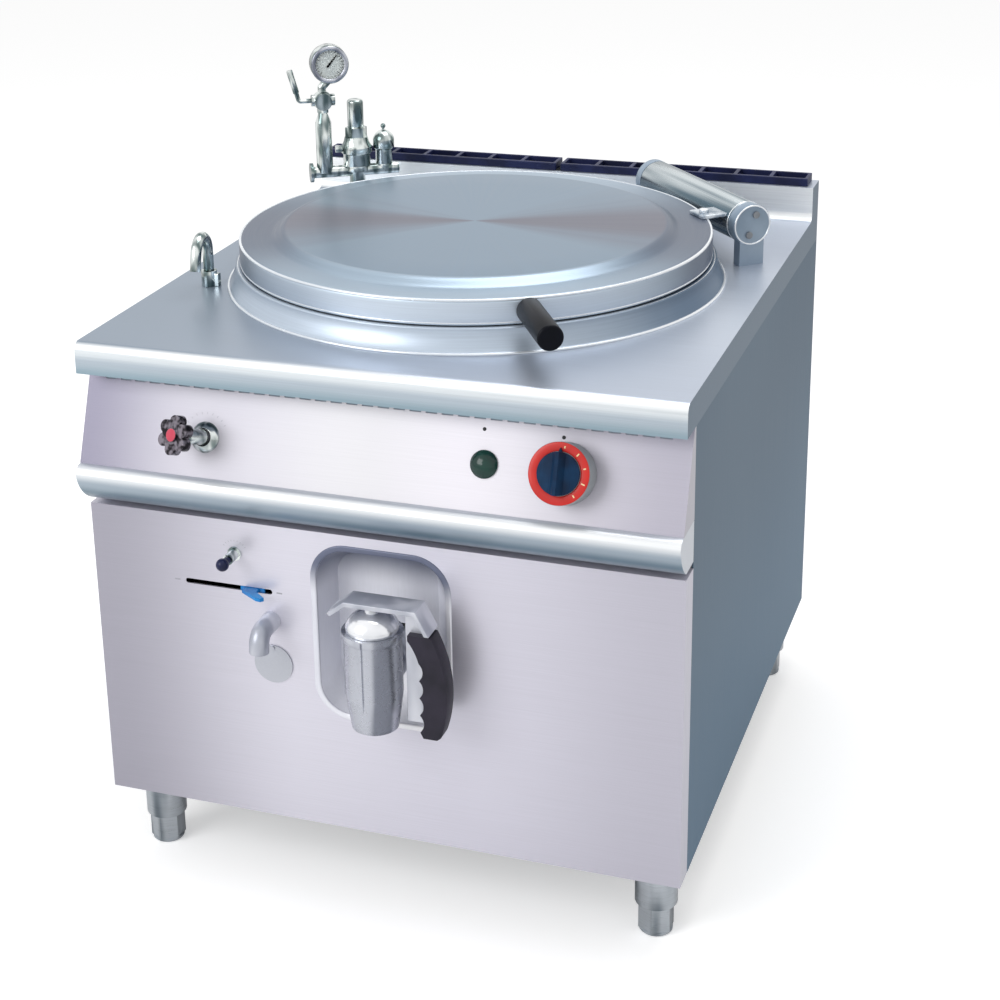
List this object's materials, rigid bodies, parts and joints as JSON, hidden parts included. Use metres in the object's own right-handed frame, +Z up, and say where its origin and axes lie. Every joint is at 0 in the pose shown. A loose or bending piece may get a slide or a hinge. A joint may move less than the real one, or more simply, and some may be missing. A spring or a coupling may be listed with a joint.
{
  "type": "steam jacketed kettle",
  "caption": "Freestanding square cabinet kettle with a round jacketed pot, spring hinged lid, safety group, filling spout, control knobs and a discharge tap at the front",
  "frame": {"origin": "centre of the bounding box's bottom face, on the floor", "axes": "+Z up, front of the cabinet towards -Y, its right hand side seen from the front towards +X"},
  "size_m": [0.8, 0.945, 1.023],
  "materials": {
    "worktop_steel": "brushed stainless sheet",
    "panel_steel": "brushed stainless sheet, grain level",
    "lid_steel": "brushed stainless, crown spun",
    "hinge_steel": "polished stainless tube",
    "inner_steel": "pickled stainless",
    "zinc_steel": "galvanised sheet",
    "wool": "mineral wool mat",
    "foot_steel": "turned stainless",
    "chrome": "chromed brass",
    "gauge_glass": "clear",
    "needle_black": "matt black",
    "handle_black": "black thermoset",
    "wheel_black": "black thermoset",
    "knob_red": "red face, grey rim",
    "knob_dark": "blue black",
    "lamp_green": "translucent green lens",
    "lever_blue": "dipped blue",
    "grid_enamel": "dark enamel",
    "seal_rubber": "food grade silicone",
    "spring_steel": "oiled spring steel",
    "brass": "machined",
    "copper": "copper tube"
  },
  "bodies": {
    "cabinet": {"worktop": "worktop_steel", "pot_collar": "worktop_steel", "drain_pipe": "inner_steel", "inner_vessel": "inner_steel", "jacket_shell": "inner_steel", "insulation": "wool", "base_frame": "zinc_steel", "side_panel_left": "panel_steel", "side_panel_right": "panel_steel", "back_panel": "panel_steel", "leg_tubes": "foot_steel", "control_panel": "panel_steel", "front_ledge": "panel_steel", "lower_panel": "panel_steel", "tap_recess": "panel_steel", "tap_body": "chrome", "hinge_supports": "hinge_steel", "hinge_shaft": "hinge_steel", "hinge_spring": "spring_steel", "safety_manifold": "chrome", "gauge_cock": "chrome", "gauge_case": "chrome", "gauge_glass": "gauge_glass", "relief_valve": "chrome", "vent_valve": "chrome", "spout_base": "chrome", "inlet_valve": "chrome", "signal_lamp": "lamp_green", "gas_valve": "brass", "gas_pipe": "copper", "burner": "zinc_steel", "combustion_chamber": "zinc_steel", "flue_duct": "zinc_steel", "water_pipe": "copper", "level_valve": "chrome", "overflow_elbow": "chrome", "flue_grids": "grid_enamel", "hinge_screws": "spring_steel"},
    "lid": {"lid_shell": "lid_steel", "lid_seal": "seal_rubber", "lid_handle": "handle_black", "hinge_tube": "hinge_steel", "lid_bracket": "lid_steel"},
    "needle": {"gauge_needle": "needle_black"},
    "cock_handle": {"cock_lever": "chrome"},
    "relief": {"relief_cap": "chrome"},
    "spout": {"filling_spout": "chrome"},
    "inlet_wheel": {"inlet_knob": "wheel_black"},
    "energy_control": {"knob_skirt": "knob_red", "knob_grip": "knob_dark"},
    "level_handle": {"level_knob": "handle_black"},
    "slide": {"slide_lever": "lever_blue"},
    "flame_cover": {"window_cover": "panel_steel"},
    "tap_handle": {"tap_plug": "chrome", "tap_lever": "chrome", "tap_grip": "handle_black"},
    "foot_fl": {"foot_front_left": "foot_steel"},
    "foot_fr": {"foot_front_right": "foot_steel"},
    "foot_rl": {"foot_rear_left": "foot_steel"},
    "foot_rr": {"foot_rear_right": "foot_steel"}
  },
  "joints": [
    {"name": "lid_hinge", "type": "hinge", "parent": "cabinet", "child": "lid", "pos_m": [0.27265, 0.26977, 0.818], "axis": [-0.6648, 0.747, 0], "range_deg": [0, 85]},
    {"name": "gauge_needle_turn", "type": "hinge", "parent": "cabinet", "child": "needle", "pos_m": [-0.31696, 0.27766, 0.994], "axis": [0.509, -0.8607, 0], "range_deg": [-95, 175], "stiffness_Nm_per_rad": 0.002},
    {"name": "gauge_cock_turn", "type": "hinge", "parent": "cabinet", "child": "cock_handle", "pos_m": [-0.33069, 0.27651, 0.938], "axis": [0.8607, 0.509, 0], "range_deg": [0, 90]},
    {"name": "relief_lift", "type": "slide", "parent": "cabinet", "child": "relief", "axis": [0, 0, 1], "range_m": [0, 0.003], "stiffness_N_per_m": 500},
    {"name": "spout_swing", "type": "hinge", "parent": "cabinet", "child": "spout", "pos_m": [-0.34, -0.1205, 0.79], "axis": [0, 0, 1], "range_deg": [-90, 48]},
    {"name": "inlet_wheel_turn", "type": "hinge", "parent": "cabinet", "child": "inlet_wheel", "pos_m": [-0.226, -0.3837, 0.646], "axis": [-0.342, -0.875, 0.3427], "range_deg": [0, 270]},
    {"name": "energy_knob_turn", "type": "hinge", "parent": "cabinet", "child": "energy_control", "pos_m": [0.2505, -0.38104, 0.6528], "axis": [0, -0.9311, 0.3647], "range_deg": [-270, 0]},
    {"name": "level_tap_turn", "type": "hinge", "parent": "cabinet", "child": "level_handle", "pos_m": [-0.1935, -0.4215, 0.489], "axis": [0, -1, 0], "range_deg": [0, 90]},
    {"name": "slide_lever_travel", "type": "slide", "parent": "cabinet", "child": "slide", "axis": [1, 0, 0], "range_m": [-0.0835, 0.0175]},
    {"name": "window_cover_swing", "type": "hinge", "parent": "cabinet", "child": "flame_cover", "pos_m": [-0.146, -0.3935, 0.3605], "axis": [0, 1, 0], "range_deg": [-90, 90]},
    {"name": "tap_lever_turn", "type": "hinge", "parent": "cabinet", "child": "tap_handle", "pos_m": [0.015, -0.4335, 0.44], "axis": [0, 0, 1], "range_deg": [-90, 0]},
    {"name": "foot_front_left_screw", "type": "slide", "parent": "cabinet", "child": "foot_fl", "axis": [0, 0, -1], "range_m": [0, 0.03]},
    {"name": "foot_front_right_screw", "type": "slide", "parent": "cabinet", "child": "foot_fr", "axis": [0, 0, -1], "range_m": [0, 0.03]},
    {"name": "foot_rear_left_screw", "type": "slide", "parent": "cabinet", "child": "foot_rl", "axis": [0, 0, -1], "range_m": [0, 0.03]},
    {"name": "foot_rear_right_screw", "type": "slide", "parent": "cabinet", "child": "foot_rr", "axis": [0, 0, -1], "range_m": [0, 0.03]}
  ]
}
